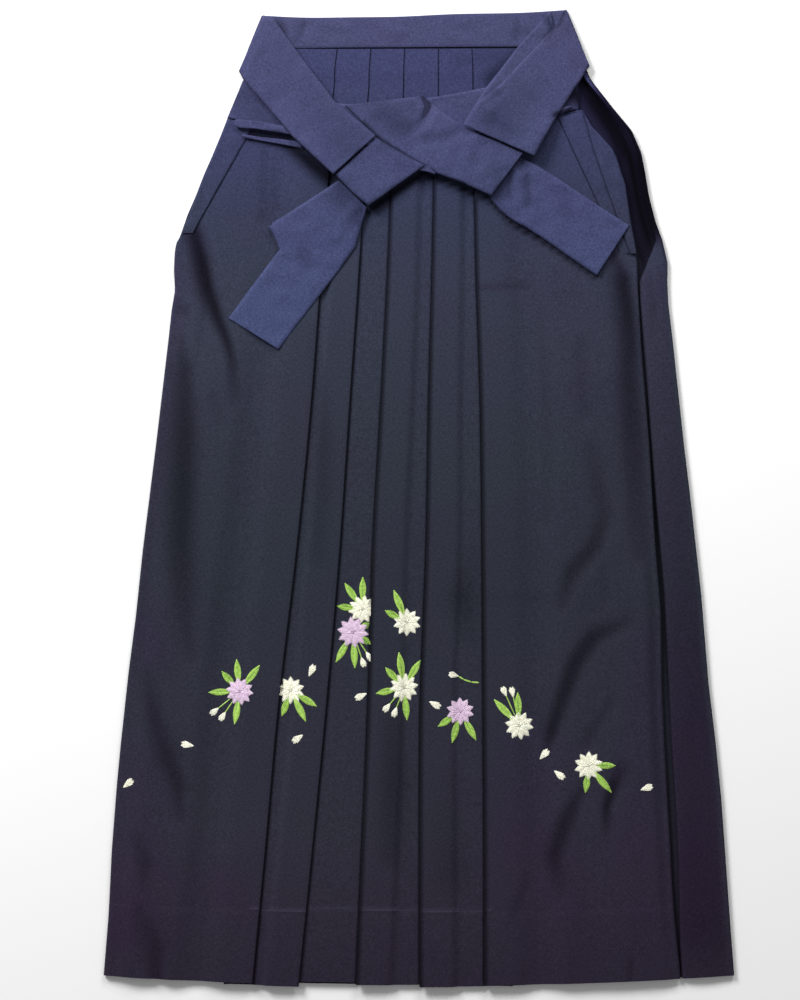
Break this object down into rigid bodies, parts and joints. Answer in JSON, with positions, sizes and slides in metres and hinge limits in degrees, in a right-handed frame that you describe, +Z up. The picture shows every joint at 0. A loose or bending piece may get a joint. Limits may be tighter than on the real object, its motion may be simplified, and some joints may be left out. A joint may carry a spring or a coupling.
{
  "type": "hakama trousers",
  "caption": "Pleated navy hakama with waistbands and folded ties, laid flat with its front up, to rest on a table or shelf.",
  "frame": {"origin": "on the surface that the garment lies on, under the middle of its bounding box", "axes": "+Y from hem to waist, +Z up out of the front of the garment, +X to the right as seen from above"},
  "size_m": [0.674, 1.043, 0.0188],
  "materials": {
    "skirt_cloth": "fine matt weave, shaded from violet navy at the waist to near black at the hem",
    "waist_cloth": "fine matt weave, violet navy",
    "white_thread": "satin stitch with a soft gloss",
    "lilac_thread": "satin stitch with a soft gloss",
    "green_thread": "satin stitch with a soft gloss"
  },
  "bodies": {
    "root": {"back_panel": "skirt_cloth", "front_panel": "skirt_cloth", "back_waistband": "waist_cloth", "front_waistband": "waist_cloth", "slit_facing_left": "skirt_cloth", "slit_fold_right_lower": "skirt_cloth", "slit_fold_right_upper": "skirt_cloth", "front_tie_left_folded": "waist_cloth", "front_tie_right_folded": "waist_cloth", "front_tie_left_tail": "waist_cloth", "front_tie_right_tail": "waist_cloth", "front_tie_square": "waist_cloth", "front_tie_centre": "waist_cloth", "back_tie_left": "waist_cloth", "back_tie_right": "waist_cloth"}
  },
  "joints": []
}
